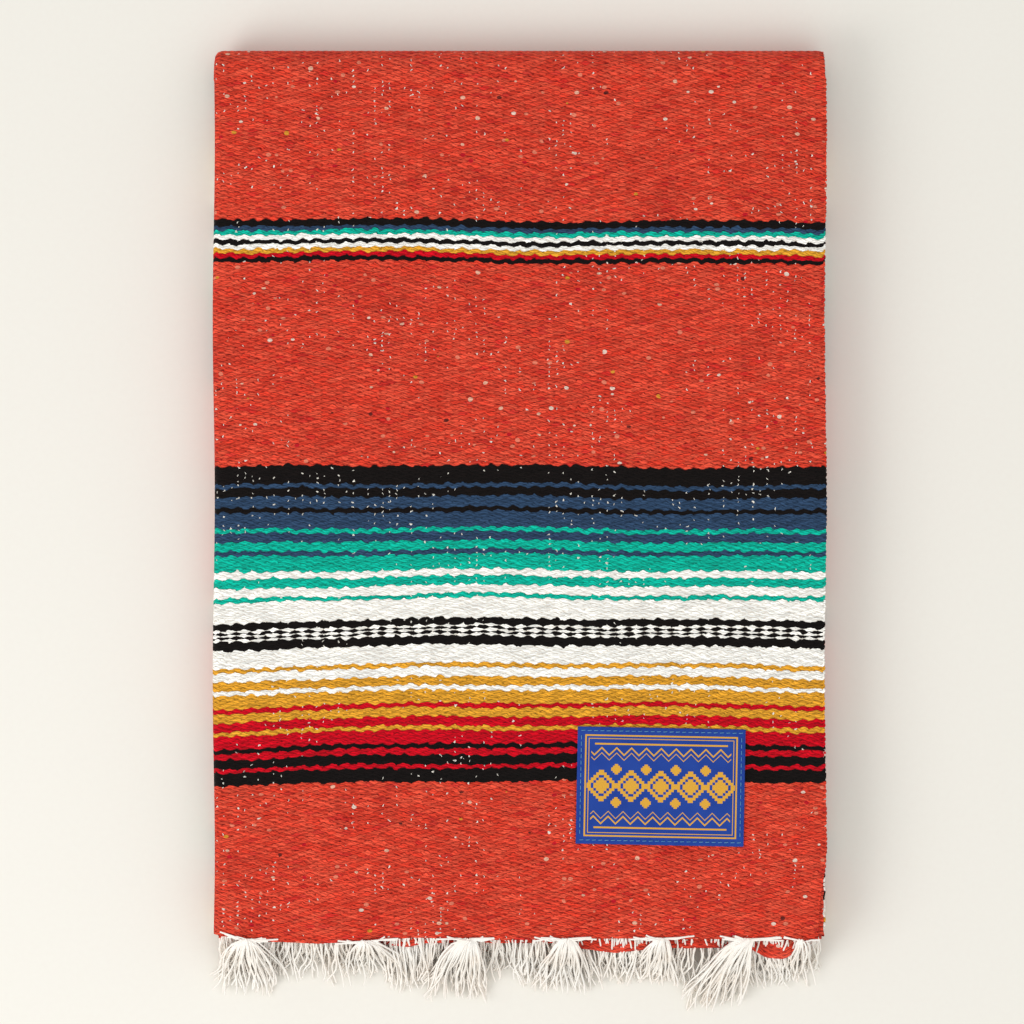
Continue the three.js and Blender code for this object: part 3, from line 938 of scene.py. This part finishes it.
def stitch_lines():
    """The line of each stitch, which rises from the patch and goes down again."""
    lines = []
    inset, length, gap = 0.0022, 0.0021, 0.0036
    wide, long = LABEL["wide"] / 2 - inset, LABEL["long"] / 2 - inset
    shares = [(t, 0.0008 + 0.0004 * math.sin(math.pi * t)) for t in (0, 0.33, 0.66, 1)]
    for a in np.arange(-wide, wide, gap):
        for b in (-long, long):
            lines.append([label_place(a + t * length, b + 0.0002 * t, lift) for t, lift in shares])
    for b in np.arange(-long + gap, long - gap, gap):
        for a in (-wide, wide):
            lines.append([label_place(a, b + t * length, lift) for t, lift in shares])
    return lines


stitch_thread = cotton_material("stitch_thread", (112, 160, 196), (70, 120, 176))
stitches = yarns("label_stitches", stitch_lines(), STITCH_YARN, stitch_thread)

# %% [markdown]
# ## Riding on the body
# Every piece rides on the one body, and the frame's nodes that it stands for are hidden.

# %% Ride and replace
for piece, nodes, slot in (
    (top_sheet, ("top_stretch", "back_fold"), "brick_weave"),
    (lower_sheet, ("under_stretch", "front_fold"), "brick_weave"),
    (inner_sheets, ("hidden_layers",), "striped_weave"),
    (second_end, ("second_end",), "striped_weave"),
    (fringe_upper, ("fringe_upper",), "cotton_fringe"),
    (fringe_lower, ("fringe_lower",), "cotton_fringe"),
    (label, ("label",), "woven_label"),
    (stitches, (), "woven_label"),
    (turns, (), "brick_weave"),
):
    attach(piece, "root")
    if nodes:
        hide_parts(*nodes)

# %% [markdown]
# ## Floor, light and camera
# The blanket lies on a plain pale floor in soft light from the lower left, and the camera looks
# straight down.

# %% Floor and lights
floor_mesh = bpy.data.meshes.new("floor")
FLOOR_HALF, FLOOR_Z = 3, -0.0003
corners = [(x * FLOOR_HALF, y * FLOOR_HALF, FLOOR_Z) for x, y in ((-1, -1), (1, -1), (1, 1), (-1, 1))]
floor_mesh.from_pydata(corners, [], [(0, 1, 2, 3)])
floor = bpy.data.objects.new("floor", floor_mesh)
bpy.context.scene.collection.objects.link(floor)
paper = Shader("pale_paper")
grain = paper.noise(paper.add("ShaderNodeTexCoord", {}, {}, 3), 300.0)
tone = paper.mix(grain, dye(240, 236, 228), dye(242, 239, 231))
floor_mesh.materials.append(paper.surface(tone, grain, 0.95, 0.05, 0.0001, 0.0))

world = bpy.data.worlds.new("soft_room")
bpy.context.scene.world = world
world.use_nodes = True
background = world.node_tree.nodes["Background"]
background.inputs["Color"].default_value = (0.985, 0.99, 0.975, 1)
background.inputs["Strength"].default_value = 0.70


def area_light(name, place, size, power):
    """A square lamp that faces the origin."""
    lamp = bpy.data.lights.new(name, "AREA")
    lamp.size, lamp.energy = size, power
    holder = bpy.data.objects.new(name, lamp)
    holder.location = place
    holder.rotation_euler = (-Vector(place)).to_track_quat("-Z", "Y").to_euler()
    bpy.context.scene.collection.objects.link(holder)


area_light("key", (-1.5, -0.9, 1.5), 1.3, 18)
area_light("fill", (0.6, -0.6, 2.4), 2.4, 12)

# %% Camera
VIEW_WIDE, LENS, SENSOR = 0.5857, 150, 36
camera_data = bpy.data.cameras.new("camera")
camera_data.lens, camera_data.sensor_width = LENS, SENSOR
camera = bpy.data.objects.new("camera", camera_data)
camera.location = (MIDDLE - 0.004, FRONT + 0.2445, VIEW_WIDE * LENS / SENSOR + STACK)
bpy.context.scene.collection.objects.link(camera)
bpy.context.scene.camera = camera
bpy.context.scene.view_settings.view_transform = "Standard"
